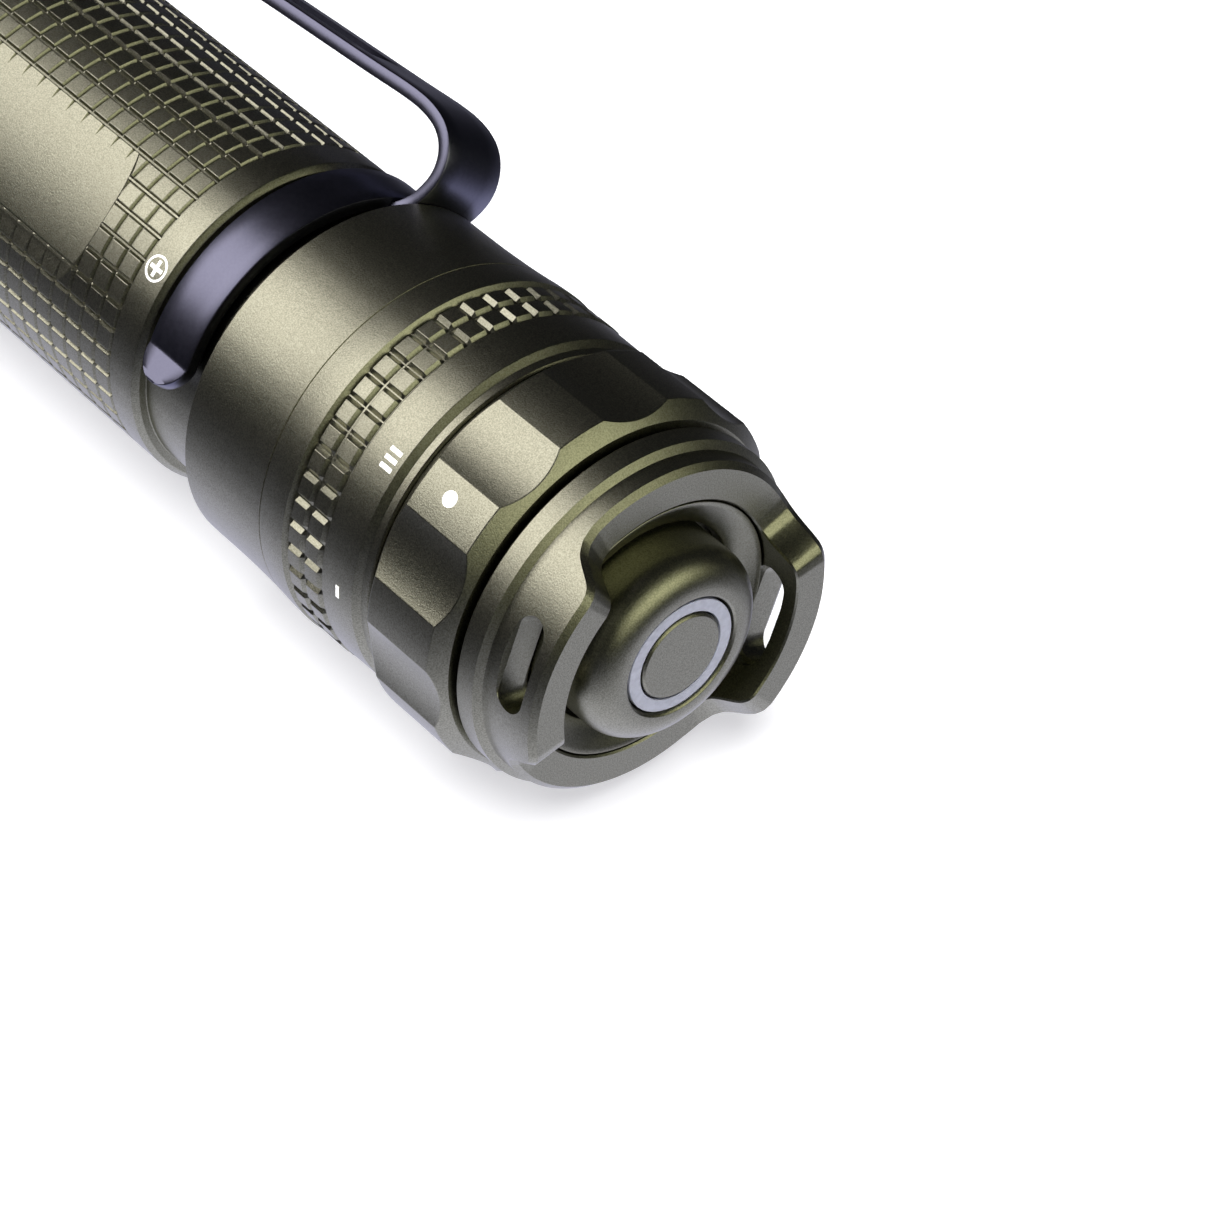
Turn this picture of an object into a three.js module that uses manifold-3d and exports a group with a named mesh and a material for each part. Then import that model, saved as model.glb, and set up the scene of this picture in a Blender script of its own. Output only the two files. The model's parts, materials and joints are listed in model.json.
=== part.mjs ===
// Tactical flashlight lying on its side: the light's axis runs along X, the tail switch at +X, the beam leaves at -X.
// Millimetres, +Z up. Stations s are measured along the axis from the rear edge of the switch housing, + towards the tail.
// Angles phi are measured about the axis in degrees from +Y towards +Z.
import * as THREE from "three";
import { mergeVertices } from "three/addons/utils/BufferGeometryUtils.js";
import Module from "manifold-3d";

const wasm = await Module();
wasm.setup();

// ---- driving dimensions ----
const SEG = 36; // facets round a large turned piece
const SMALL_SEG = 24; // facets round a small turned piece
const TUBE_R = 13.0; // knurled grip
const TUBE_BORE_R = 10.8;
const NECK_R = 12.0; // neck the clip snaps on
const THREAD_R = 11.9;
const FLANGE_REAR_S = -26.4;
const TUBE_REAR_S = -9.0;
const TUBE_FRONT_S = -98.6;
const HOUSING_FRONT_S = -19.4;
const HOUSING_R = 14.05;
const HOUSING_BORE_R = 12.35;
const COLLAR_R = 13.6;
const COLLAR_REAR_S = 0.75;
const LAND_R = 14.65; // selector ring and head, over the lands
const LAND_COUNT = 10;
const LAND_HALF_DEG = 7.2;
const LAND_PHASE_DEG = 131.4; // land that carries the index dot
const SCALLOP_DEPTH = 0.7;
const RING_FRONT_S = 1.0;
const RING_REAR_S = 9.2;
const RING_BORE_R = 12.1;
const CAP_NECK_R = 11.6;
const CAP_BORE_R = 9.5;
const CAP_FLANGE_R = 13.4;
const CAP_R = 12.8;
const CAP_FACE_S = 13.5;
const DISH_R = 10.0; // seam between tail cap and switch bezel
const WING_TOP_S = 16.85;
const WING_PHI = 158; // centre of one wing, the other is opposite
const WING_HALF_DEG = 27.9; // half of a wing's flat top
const CAP_CHAMFER = 0.4;
const SLOT_S = 14.3;
const SLOT_LENGTH = 7.2;
const SLOT_WIDTH = 2.3;
const BUTTON_R = 7.4;
const BUTTON_TOP_S = 16.75;
const CELL_R = 10.6;
const CELL_REAR_S = -14.3;
const CELL_FRONT_S = -89.2;
const PANEL_PHI = 134.5; // label panel milled across the knurl, more gently curved than the tube
const PANEL_MIDDLE_R = 12.47;
const PANEL_CURVE_R = 21.5;
const PANEL_REAR_S = -34.5;
const PANEL_FRONT_S = -84.5;
const CLIP_PHI = 47.5;
const CLIP_BAND_R = 12.3;
const CLIP_THICK = 1.0;
const CLIP_WIDTH = 6.2;
const CLIP_BAND_FRONT_S = -25.5;
const CLIP_BAND_REAR_S = -21.25;
const CLIP_HALF_DEG = 105.8; // half of the round part of the band
const CLIP_FLARE_DEG = 25.3; // outward bend of the band's two ends
const HEAD_REAR_S = -93.0;
const HEAD_FRONT_S = -135.0;
const BEZEL_FRONT_S = -137.4;

const olive = { color: 0x6d6b57, roughness: 0.5, metalness: 0.75 };
const blackSteel = { color: 0x23242a, roughness: 0.3, metalness: 0.9 };
const steel = { color: 0xb9bcc0, roughness: 0.28, metalness: 1.0 };
const brass = { color: 0xc39a48, roughness: 0.3, metalness: 1.0 };
const copper = { color: 0xc07a4e, roughness: 0.35, metalness: 1.0 };
const rubber = { color: 0x17171a, roughness: 0.8, metalness: 0.0 };
const board = { color: 0x1d4a33, roughness: 0.5, metalness: 0.0 };
const blackPlastic = { color: 0x1c1c1e, roughness: 0.55, metalness: 0.0 };
const wrapBlue = { color: 0x2c3f73, roughness: 0.45, metalness: 0.0 };
const mirror = { color: 0xe4e6ea, roughness: 0.08, metalness: 1.0 };
const lensGlass = { color: 0xdfe9ee, roughness: 0.05, metalness: 0.0 };
const lightGuide = { color: 0xc9cbe2, roughness: 0.35, metalness: 0.0 };
const phosphor = { color: 0xe6d25a, roughness: 0.6, metalness: 0.0 };

// ---- geometry helpers ----
function rad(deg) {
  return (deg * Math.PI) / 180;
}

function outward(phiDeg) {
  return new THREE.Vector3(0, Math.cos(rad(phiDeg)), Math.sin(rad(phiDeg)));
}

function around(phiDeg) {
  return new THREE.Vector3(0, -Math.sin(rad(phiDeg)), Math.cos(rad(phiDeg)));
}

function signedVolume(positions, index) {
  const a = new THREE.Vector3();
  const b = new THREE.Vector3();
  const c = new THREE.Vector3();
  let sum = 0;
  for (let i = 0; i < index.count; i += 3) {
    a.fromBufferAttribute(positions, index.getX(i));
    b.fromBufferAttribute(positions, index.getX(i + 1));
    c.fromBufferAttribute(positions, index.getX(i + 2));
    sum += a.dot(b.cross(c));
  }
  return sum;
}

function solidOf(geometry) {
  geometry.deleteAttribute("normal");
  geometry.deleteAttribute("uv");
  const merged = mergeVertices(geometry, 1e-4);
  const triVerts = new Uint32Array(merged.index.array);
  if (signedVolume(merged.attributes.position, merged.index) < 0) {
    for (let i = 0; i < triVerts.length; i += 3) {
      [triVerts[i + 1], triVerts[i + 2]] = [triVerts[i + 2], triVerts[i + 1]];
    }
  }
  const vertProperties = new Float32Array(merged.attributes.position.array);
  return new wasm.Manifold(new wasm.Mesh({ numProp: 3, vertProperties, triVerts }));
}

// A turned solid from [radius, station] pairs; a profile off the axis is closed on itself.
function turned(pairs, segments = SEG) {
  const points = pairs.map(([r, s]) => new THREE.Vector2(r, s));
  if (pairs[0][0] > 0) points.push(points[0].clone());
  const geometry = new THREE.LatheGeometry(points, segments);
  geometry.rotateZ(-Math.PI / 2);
  return solidOf(geometry);
}

function placed(geometry, xAxis, yAxis, zAxis, origin) {
  const matrix = new THREE.Matrix4().makeBasis(xAxis, yAxis, zAxis);
  matrix.setPosition(origin);
  geometry.applyMatrix4(matrix);
  return solidOf(geometry);
}

function extruded(shape, depth, curveSegments = 6) {
  return new THREE.ExtrudeGeometry(shape, { depth, bevelEnabled: false, curveSegments, steps: 1 });
}

// Outline in (y, z) carried along the axis from station s0 to s1.
function axialPrism(shape, s0, s1) {
  const y = new THREE.Vector3(0, 1, 0);
  const z = new THREE.Vector3(0, 0, 1);
  const x = new THREE.Vector3(1, 0, 0);
  return placed(extruded(shape, s1 - s0), y, z, x, new THREE.Vector3(s0, 0, 0));
}

// Outline in (tangent, station) carried outwards from radius r0 to r1 at angle phi.
function radialPrism(shape, phi, r0, r1) {
  const e = outward(phi);
  const origin = e.clone().multiplyScalar(r0);
  return placed(extruded(shape, r1 - r0), around(phi), new THREE.Vector3(1, 0, 0), e, origin);
}

// Outline in (station, radius) in the half plane at angle phi, given a width across it.
function bladePrism(shape, phi, width) {
  const t = around(phi);
  const origin = t.clone().multiplyScalar(-width / 2);
  return placed(extruded(shape, width, 10), new THREE.Vector3(1, 0, 0), outward(phi), t, origin);
}

function outline(pairs) {
  return new THREE.Shape(pairs.map(([a, b]) => new THREE.Vector2(a, b)));
}

function rectangle(a0, b0, a1, b1) {
  return outline([
    [a0, b0],
    [a1, b0],
    [a1, b1],
    [a0, b1],
  ]);
}

function box(sizeX, sizeY, sizeZ, x, y, z) {
  return solidOf(new THREE.BoxGeometry(sizeX, sizeY, sizeZ).translate(x, y, z));
}

function rod(radius, s0, s1, y, z, segments = 12) {
  const geometry = new THREE.CylinderGeometry(radius, radius, s1 - s0, segments);
  geometry.rotateZ(-Math.PI / 2);
  geometry.translate((s0 + s1) / 2, y, z);
  return solidOf(geometry);
}

function oRing(centreR, sectionR, s, segments = 30) {
  const section = [];
  for (let i = 0; i < 6; i += 1) {
    const a = rad(60 * i + 30);
    section.push([centreR + sectionR * Math.cos(a), s + sectionR * Math.sin(a)]);
  }
  return turned(section, segments);
}

// A coil spring about the axis whose coil radius changes evenly from one end to the other.
function coil(s0, s1, r0, r1, turns, wireR, sides = 6, stepsPerTurn = 12) {
  class Helix extends THREE.Curve {
    getPoint(u, target = new THREE.Vector3()) {
      const angle = 2 * Math.PI * turns * u;
      const r = r0 + (r1 - r0) * u;
      return target.set(s0 + (s1 - s0) * u, r * Math.cos(angle), r * Math.sin(angle));
    }
  }
  const section = [];
  for (let i = 0; i < sides; i += 1) {
    const a = (2 * Math.PI * i) / sides;
    section.push([wireR * Math.cos(a), wireR * Math.sin(a)]);
  }
  const steps = Math.round(turns * stepsPerTurn);
  const geometry = new THREE.ExtrudeGeometry(outline(section), {
    steps,
    extrudePath: new Helix(),
    bevelEnabled: false,
  });
  return solidOf(geometry);
}

function meshOf(name, solid, look) {
  const data = solid.getMesh();
  const geometry = new THREE.BufferGeometry();
  geometry.setAttribute("position", new THREE.BufferAttribute(data.vertProperties, 3));
  geometry.setIndex(new THREE.BufferAttribute(data.triVerts, 1));
  const flat = geometry.toNonIndexed();
  flat.computeVertexNormals();
  const mesh = new THREE.Mesh(flat, new THREE.MeshStandardMaterial(look));
  mesh.name = name;
  return mesh;
}

// Section shared by the selector ring and the head: lands on a cylinder with a shallow concave scallop between.
function scallopedSection() {
  const points = [];
  const pitch = 360 / LAND_COUNT;
  for (let i = 0; i < LAND_COUNT; i += 1) {
    const centre = LAND_PHASE_DEG + i * pitch;
    for (const offset of [-LAND_HALF_DEG, 0, LAND_HALF_DEG]) {
      points.push(outward(centre + offset).multiplyScalar(LAND_R));
    }
    const half = pitch / 2 - LAND_HALF_DEG;
    for (const part of [-0.66, -0.33, 0, 0.33, 0.66]) {
      const r = LAND_R - SCALLOP_DEPTH * (1 - part * part);
      points.push(outward(centre + pitch / 2 + part * half).multiplyScalar(r));
    }
  }
  return outline(points.map((p) => [p.y, p.z]));
}

// ---- tail: turned body, selector, crown and switch ----
function switchHousing() {
  const body = turned([
    [13.75, HOUSING_FRONT_S],
    [13.88, HOUSING_FRONT_S + 0.15],
    [13.9, -15.0],
    [14.12, -10.5],
    [14.26, -9.0],
    [14.3, -7.8],
    [13.9, -7.5],
    [14.2, -7.18],
    [14.2, -6.04],
    [13.9, -5.7],
    [14.2, -5.35],
    [14.2, -4.1],
    [13.9, -3.8],
    [14.1, -3.6],
    [HOUSING_R, -0.45],
    [COLLAR_R, 0],
    [COLLAR_R, COLLAR_REAR_S - 0.15],
    [COLLAR_R - 0.2, COLLAR_REAR_S],
    [11.9, COLLAR_REAR_S],
    [11.9, -2.5],
    [9.9, -2.5],
    [9.9, -4.7],
    [11.1, -4.7],
    [11.1, -8.2],
    [HOUSING_BORE_R, -8.4],
    [HOUSING_BORE_R, HOUSING_FRONT_S],
  ]);
  const pocket = outward(LAND_PHASE_DEG).multiplyScalar(12.75);
  return body.subtract(rod(0.68, -2.0, COLLAR_REAR_S + 1, pocket.y, pocket.z));
}

function selectorRing() {
  const bevelled = turned([
    [RING_BORE_R, RING_FRONT_S],
    [COLLAR_R, RING_FRONT_S],
    [LAND_R + 0.05, RING_FRONT_S + 1.05],
    [LAND_R + 0.05, RING_REAR_S - 1.1],
    [COLLAR_R, RING_REAR_S],
    [RING_BORE_R, RING_REAR_S],
  ]);
  const section = axialPrism(scallopedSection(), RING_FRONT_S - 1, RING_REAR_S + 1);
  const track = turned([
    [12.35, RING_FRONT_S - 0.5],
    [13.2, RING_FRONT_S - 0.5],
    [13.2, RING_FRONT_S + 0.35],
    [12.35, RING_FRONT_S + 0.35],
  ]);
  let ring = bevelled.intersect(section).subtract(track);
  for (const step of [0, -45, -90]) {
    const at = outward(LAND_PHASE_DEG + step).multiplyScalar(12.75);
    ring = ring.subtract(rod(0.62, RING_FRONT_S, RING_FRONT_S + 0.6, at.y, at.z, 8));
  }
  const slot = rectangle(-1.3, 4.4, 1.3, 7.6);
  return ring.subtract(radialPrism(slot, LAND_PHASE_DEG, RING_BORE_R - 1, 13.75));
}

function selectorMagnet() {
  return radialPrism(rectangle(-1.0, 4.7, 1.0, 7.3), LAND_PHASE_DEG, RING_BORE_R + 0.1, 13.45);
}

function detentBall() {
  const at = outward(LAND_PHASE_DEG).multiplyScalar(12.75);
  return solidOf(new THREE.SphereGeometry(0.55, 12, 8).translate(0.6, at.y, at.z));
}

function detentSpring() {
  const at = outward(LAND_PHASE_DEG).multiplyScalar(12.75);
  return coil(-1.7, -0.2, 0.36, 0.36, 4, 0.1, 5, 8).translate([0, at.y, at.z]);
}

// Everything above the crown's rear surface, whose height depends on the angle from the nearer wing alone:
// flat wing tops, S-shaped flanks, a low face between, and a chamfer along the whole outer edge.
function aboveCrown() {
  const flank = [
    [31.05, 16.7],
    [33.5, 16.35],
    [35.2, 15.83],
    [37.4, 14.95],
    [39.4, 14.3],
    [42.4, 13.85],
    [46.9, 13.58],
    [54.1, CAP_FACE_S],
    [72.0, CAP_FACE_S],
  ];
  const quarter = [[10.0, WING_TOP_S], [WING_HALF_DEG, WING_TOP_S], ...flank];
  const half = [...quarter, ...quarter.map(([angle, s]) => [180 - angle, s]).reverse()];
  const round = [...half, ...half.map(([angle, s]) => [180 + angle, s])];
  const chamferR = CAP_R - CAP_CHAMFER;
  const points = [];
  for (const [angle, s] of round) {
    const e = outward(WING_PHI + angle);
    const corners = [
      [DISH_R - 1, s],
      [chamferR, s],
      [chamferR + 2, s - 2],
      [chamferR + 2, WING_TOP_S + 2],
      [DISH_R - 1, WING_TOP_S + 2],
    ];
    for (const [r, station] of corners) points.push(station, r * e.y, r * e.z);
  }
  const index = [];
  for (let i = 0; i < round.length; i += 1) {
    const here = 5 * i;
    const next = 5 * ((i + 1) % round.length);
    for (let j = 0; j < 5; j += 1) {
      const k = (j + 1) % 5;
      index.push(here + j, here + k, next + k, here + j, next + k, next + j);
    }
  }
  const geometry = new THREE.BufferGeometry();
  geometry.setAttribute("position", new THREE.BufferAttribute(new Float32Array(points), 3));
  geometry.setIndex(index);
  return solidOf(geometry);
}

function tailCap() {
  const turnedCap = turned([
    [CAP_NECK_R, -2.2],
    [CAP_NECK_R, 1.9],
    [10.55, 1.9],
    [10.55, 3.1],
    [CAP_NECK_R, 3.1],
    [CAP_NECK_R, 7.3],
    [10.55, 7.3],
    [10.55, 8.5],
    [CAP_NECK_R, 8.5],
    [CAP_NECK_R, 9.6],
    [13.1, 9.6],
    [CAP_FLANGE_R, 9.9],
    [CAP_FLANGE_R, 11.45],
    [CAP_R, 11.8],
    [CAP_R, WING_TOP_S + 1],
    [DISH_R, WING_TOP_S + 1],
    [DISH_R, 8.7],
    [CAP_BORE_R, 8.7],
    [CAP_BORE_R, -2.2],
  ]);
  const slot = new THREE.Shape();
  const half = SLOT_LENGTH / 2 - SLOT_WIDTH / 2;
  slot.absarc(half, SLOT_S, SLOT_WIDTH / 2, -Math.PI / 2, Math.PI / 2, false);
  slot.absarc(-half, SLOT_S, SLOT_WIDTH / 2, Math.PI / 2, (3 * Math.PI) / 2, false);
  return turnedCap
    .subtract(aboveCrown())
    .subtract(radialPrism(slot, WING_PHI, DISH_R - 2, 15))
    .subtract(radialPrism(slot, WING_PHI + 180, DISH_R - 2, 15));
}

function switchBezel() {
  return turned([
    [7.75, 11.2],
    [7.75, 12.35],
    [8.3, 12.75],
    [9.1, 13.15],
    [9.8, 13.45],
    [9.8, 9.0],
    [8.7, 9.0],
    [8.7, 11.2],
  ]);
}

function switchButton() {
  return turned([
    [4.65, 10.0],
    [8.35, 10.0],
    [8.35, 10.9],
    [BUTTON_R, 10.9],
    [BUTTON_R, 14.45],
    [7.22, 15.33],
    [6.73, 16.08],
    [5.98, 16.58],
    [5.1, BUTTON_TOP_S - 0.02],
    [4.65, BUTTON_TOP_S],
  ]);
}

function buttonLightRing() {
  return turned(
    [
      [3.45, 12.6],
      [4.4, 12.6],
      [4.4, BUTTON_TOP_S - 0.1],
      [3.45, BUTTON_TOP_S - 0.1],
    ],
    SMALL_SEG,
  );
}

function buttonPlunger() {
  return turned(
    [
      [0, 1.6],
      [1.5, 1.6],
      [1.5, 13.2],
      [3.2, 13.2],
      [3.2, BUTTON_TOP_S - 0.1],
      [3.1, BUTTON_TOP_S],
      [0, BUTTON_TOP_S],
    ],
    SMALL_SEG,
  );
}

function switchBoot() {
  return turned(
    [
      [1.9, 7.9],
      [9.2, 7.9],
      [9.2, 8.55],
      [6.0, 8.55],
      [5.4, 8.25],
      [4.4, 8.25],
      [3.8, 8.55],
      [1.9, 8.55],
    ],
    SMALL_SEG,
  );
}

function switchCarrier() {
  return turned(
    [
      [6.2, 0.0],
      [9.2, 0.0],
      [9.2, 7.6],
      [4.9, 7.6],
      [4.9, 6.4],
      [6.2, 6.4],
    ],
    SMALL_SEG,
  );
}

function switchBoard() {
  return turned([[0, -1.5], [9.1, -1.5], [9.1, -0.4], [0, -0.4]], SMALL_SEG);
}

function tactSwitch() {
  return box(2.6, 6.0, 6.0, 1.1, 0, 0).subtract(rod(1.9, 0.2, 4, 0, 0));
}

function indicatorLed(side) {
  return box(0.9, 1.6, 0.9, 0.25, 0, 4.2 * side);
}

function hallSensor() {
  const at = outward(LAND_PHASE_DEG).multiplyScalar(5.4);
  return box(0.8, 1.0, 1.0, 0.2, at.y, at.z);
}

function contactBoard() {
  return turned([[0, -6.0], [10.8, -6.0], [10.8, -5.0], [0, -5.0]], SMALL_SEG);
}

function contactRetainingRing() {
  return turned([[8.9, -7.9], [10.8, -7.9], [10.8, -6.3], [8.9, -6.3]], SMALL_SEG);
}

// ---- grip tube, cell and clip ----
function batteryTube() {
  const body = turned([
    [THREAD_R - 0.4, TUBE_REAR_S],
    [TUBE_BORE_R, TUBE_REAR_S],
    [TUBE_BORE_R, TUBE_FRONT_S],
    [THREAD_R - 0.4, TUBE_FRONT_S],
    [THREAD_R, TUBE_FRONT_S + 0.4],
    [THREAD_R, -96.4],
    [11.2, -96.2],
    [11.2, -94.8],
    [THREAD_R, -94.6],
    [THREAD_R, -92.6],
    [12.7, -92.6],
    [TUBE_R, -92.3],
    [TUBE_R, -26.8],
    [12.6, FLANGE_REAR_S],
    [NECK_R, FLANGE_REAR_S],
    [NECK_R, -18.4],
    [11.2, -18.2],
    [11.2, -16.6],
    [THREAD_R, -16.4],
    [THREAD_R, TUBE_REAR_S - 0.4],
  ]);
  const opening = outline([
    [PANEL_FRONT_S - 0.3, TUBE_R + 0.5],
    [PANEL_FRONT_S, TUBE_R],
    [PANEL_FRONT_S + 0.75, 12.3],
    [PANEL_FRONT_S + 2.0, 11.6],
    [PANEL_REAR_S - 2.0, 11.6],
    [PANEL_REAR_S - 0.75, 12.3],
    [PANEL_REAR_S, TUBE_R],
    [PANEL_REAR_S + 0.3, TUBE_R + 0.5],
  ]);
  const centre = outward(PANEL_PHI).multiplyScalar(PANEL_MIDDLE_R - PANEL_CURVE_R);
  const left = rod(PANEL_CURVE_R, PANEL_FRONT_S - 2, PANEL_REAR_S + 2, centre.y, centre.z, 180);
  const panel = bladePrism(opening, PANEL_PHI, 14).subtract(left);
  return body.subtract(panel);
}

function batteryCell() {
  return turned([
    [0, CELL_FRONT_S],
    [CELL_R - 0.4, CELL_FRONT_S],
    [CELL_R, CELL_FRONT_S + 0.4],
    [CELL_R, CELL_REAR_S - 0.4],
    [CELL_R - 0.4, CELL_REAR_S],
    [0, CELL_REAR_S],
  ], 36);
}

function cellPositiveCap() {
  return turned([[0, -90.6], [3.6, -90.6], [4.0, -90.2], [4.0, -89.5], [0, -89.5]], SMALL_SEG);
}

function cellNegativePlate() {
  return turned([[0, -14.0], [8.6, -14.0], [8.6, -13.7], [0, -13.7]], SMALL_SEG);
}

function clipArmOutline() {
  const inner = [
    [-22.3, 12.75],
    [-21.1, 13.65],
    [-20.3, 14.7],
    [-19.85, 15.8],
    [-20.1, 17.0],
    [-21.2, 18.1],
    [-22.9, 18.7],
    [-25.5, 18.75],
    [-40.0, 18.1],
    [-60.0, 17.1],
    [-71.0, 16.0],
    [-77.0, 14.5],
    [-80.2, 13.75],
    [-82.5, 13.7],
    [-85.5, 14.6],
    [-88.3, 16.0],
  ];
  const outer = inner.map(([s, r], i) => {
    const before = inner[Math.max(i - 1, 0)];
    const after = inner[Math.min(i + 1, inner.length - 1)];
    const ds = after[0] - before[0];
    const dr = after[1] - before[1];
    const length = Math.hypot(ds, dr);
    return [s + (dr / length) * CLIP_THICK, r - (ds / length) * CLIP_THICK];
  });
  return outline([...inner, ...outer.reverse()]);
}

function bandSector(phi0, phi1, s0, s1) {
  const shape = new THREE.Shape();
  shape.absarc(0, 0, CLIP_BAND_R + CLIP_THICK, rad(phi0), rad(phi1), false);
  shape.absarc(0, 0, CLIP_BAND_R, rad(phi1), rad(phi0), true);
  const y = new THREE.Vector3(0, 1, 0);
  const z = new THREE.Vector3(0, 0, 1);
  const geometry = extruded(shape, s1 - s0, Math.max(4, Math.round((phi1 - phi0) / 8)));
  return placed(geometry, y, z, new THREE.Vector3(1, 0, 0), new THREE.Vector3(s0, 0, 0));
}

// Rounded lead-in tab at one end of the band (side 1 or -1), bent outwards.
function flaredEnd(side) {
  const outerR = CLIP_BAND_R + CLIP_THICK;
  const out = outerR * Math.cos(rad(CLIP_FLARE_DEG));
  const across = outerR * Math.sin(rad(CLIP_FLARE_DEG));
  const middle = (CLIP_BAND_FRONT_S + CLIP_BAND_REAR_S) / 2;
  const half = (CLIP_BAND_REAR_S - CLIP_BAND_FRONT_S) / 2;
  const tab = [[across - 0.5, middle + half], [across - 0.5, middle - half]];
  for (let i = 0; i <= 12; i += 1) {
    const a = rad(-90 + 15 * i);
    tab.push([across + half * Math.cos(a), middle + half * Math.sin(a)]);
  }
  const phi = CLIP_PHI + side * (CLIP_HALF_DEG - CLIP_FLARE_DEG);
  return radialPrism(outline(tab.map(([t, s]) => [side * t, s])), phi, out - CLIP_THICK, out);
}

function pocketClip() {
  const first = CLIP_PHI - CLIP_HALF_DEG;
  const last = CLIP_PHI + CLIP_HALF_DEG;
  const halfRoot = 13.5;
  const band = bandSector(first - 1, last + 1, CLIP_BAND_FRONT_S, CLIP_BAND_REAR_S);
  const root = bandSector(CLIP_PHI - halfRoot, CLIP_PHI + halfRoot, CLIP_BAND_REAR_S - 0.5, -20.9);
  const arm = bladePrism(clipArmOutline(), CLIP_PHI, CLIP_WIDTH);
  return band.add(flaredEnd(1)).add(flaredEnd(-1)).add(root).add(arm);
}

// ---- head ----
function scallopCutter(s0, s1) {
  const sleeve = turned([[12, s0], [16, s0], [16, s1], [12, s1]]);
  return sleeve.subtract(axialPrism(scallopedSection(), s0 - 1, s1 + 1));
}

function headBody() {
  const shell = turned([
    [HOUSING_BORE_R, HEAD_REAR_S],
    [13.5, HEAD_REAR_S],
    [14.0, HEAD_REAR_S - 0.8],
    [14.0, -100.8],
    [12.9, -101.0],
    [12.9, -102.2],
    [14.0, -102.4],
    [14.0, -103.6],
    [12.9, -103.8],
    [12.9, -105.0],
    [14.0, -105.2],
    [14.0, -106.4],
    [12.9, -106.6],
    [12.9, -107.8],
    [14.0, -108.0],
    [LAND_R, -109.0],
    [LAND_R, -121.4],
    [14.05, -122.0],
    [14.05, -123.2],
    [LAND_R, -123.8],
    [LAND_R, HEAD_FRONT_S + 0.5],
    [14.2, HEAD_FRONT_S],
    [13.6, HEAD_FRONT_S],
    [13.6, -129.0],
    [12.6, -129.0],
    [12.6, -126.0],
    [9.6, -108.2],
    [9.6, -105.2],
    [11.9, -105.2],
    [11.9, -100.4],
    [HOUSING_BORE_R, -100.4],
  ]);
  const web = turned([[0, -108.2], [9.9, -108.2], [9.9, -105.2], [0, -105.2]]);
  return shell
    .add(web)
    .subtract(scallopCutter(-120.6, -110.0))
    .subtract(rod(0.9, -110, -104, 4.5, 0))
    .subtract(rod(0.9, -110, -104, -4.5, 0));
}

function ledWire(side) {
  return rod(0.5, -108.4, -102.2, 4.5 * side, 0, 8);
}

function ledBoard() {
  return turned([[0, -109.7], [9.0, -109.7], [9.0, -108.5], [0, -108.5]], SMALL_SEG);
}

function ledEmitter() {
  const base = box(0.7, 5.0, 5.0, -110.35, 0, 0);
  const dome = turned([[0, -112.0], [0.9, -111.7], [1.45, -111.1], [1.7, -110.3], [0, -110.3]], 16);
  return base.add(dome);
}

function ledCentringRing() {
  return turned([[3.8, -111.3], [5.6, -111.3], [5.6, -110.0], [3.8, -110.0]], SMALL_SEG);
}

function reflector() {
  const focal = 1.7;
  const apex = -110.0;
  const inner = [3.3, 4.5, 6.0, 7.5, 9.0, 10.2, 11.4].map((r) => [r, apex - (r * r) / (4 * focal)]);
  const outer = [
    [12.3, inner[6][1]],
    [12.3, -128.4],
    [11.9, -128.0],
    [10.6, -124.0],
    [8.5, -118.0],
    [6.2, -113.6],
    [4.6, inner[0][1]],
  ];
  return turned([...inner, ...outer], 30);
}

function lens() {
  return turned([[0, -132.6], [12.2, -132.6], [12.4, -132.4], [12.4, -130.6], [0, -130.6]]);
}

function strikeBezel() {
  const ring = turned([
    [11.4, BEZEL_FRONT_S + 0.5],
    [12.0, BEZEL_FRONT_S],
    [13.5, BEZEL_FRONT_S],
    [14.2, BEZEL_FRONT_S + 0.7],
    [14.2, HEAD_FRONT_S - 0.3],
    [13.3, HEAD_FRONT_S - 0.3],
    [13.3, -131.2],
    [12.8, -131.2],
    [12.8, -134.4],
    [11.4, -134.4],
  ]);
  let bezel = ring;
  for (const phi of [18, 78, 138]) {
    const notch = new THREE.Shape();
    notch.absarc(0, BEZEL_FRONT_S - 3.1, 4.0, 0, 2 * Math.PI, false);
    bezel = bezel.subtract(radialPrism(notch, phi, -16, 16));
  }
  return bezel;
}

function driverBoard() {
  return turned([[0, -101.7], [11.5, -101.7], [11.5, -100.7], [0, -100.7]], SMALL_SEG);
}

function driverRetainingRing() {
  return turned([[9.4, -100.1], [11.9, -100.1], [11.9, -98.9], [9.4, -98.9]], SMALL_SEG);
}

// ---- assembly ----
const light = new THREE.Group();
light.name = "tactical_flashlight";

function put(name, solid, look) {
  light.add(meshOf(name, solid, look));
}

put("battery_tube", batteryTube(), olive);
put("head_body", headBody(), olive);
put("strike_bezel", strikeBezel(), blackSteel);
put("lens_gasket", oRing(12.0, 0.55, -133.5), rubber);
put("lens", lens(), lensGlass);
put("reflector", reflector(), mirror);
put("led_centring_ring", ledCentringRing(), blackPlastic);
put("led_emitter", ledEmitter(), phosphor);
put("led_board", ledBoard(), copper);
put("led_wire_positive", ledWire(1), { color: 0xa02020, roughness: 0.5, metalness: 0 });
put("led_wire_negative", ledWire(-1), rubber);
put("driver_board", driverBoard(), board);
put("driver_inductor", box(2.8, 5.6, 5.6, -103.4, 0, 0), blackPlastic);
put("driver_retaining_ring", driverRetainingRing(), brass);
put("driver_spring", coil(-99.9, -91.3, 4.6, 2.6, 4.5, 0.35), brass);
put("head_o_ring", oRing(11.8, 0.36, -95.5), rubber);
put("battery_cell", batteryCell(), wrapBlue);
put("cell_positive_cap", cellPositiveCap(), steel);
put("cell_negative_plate", cellNegativePlate(), steel);
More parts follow.
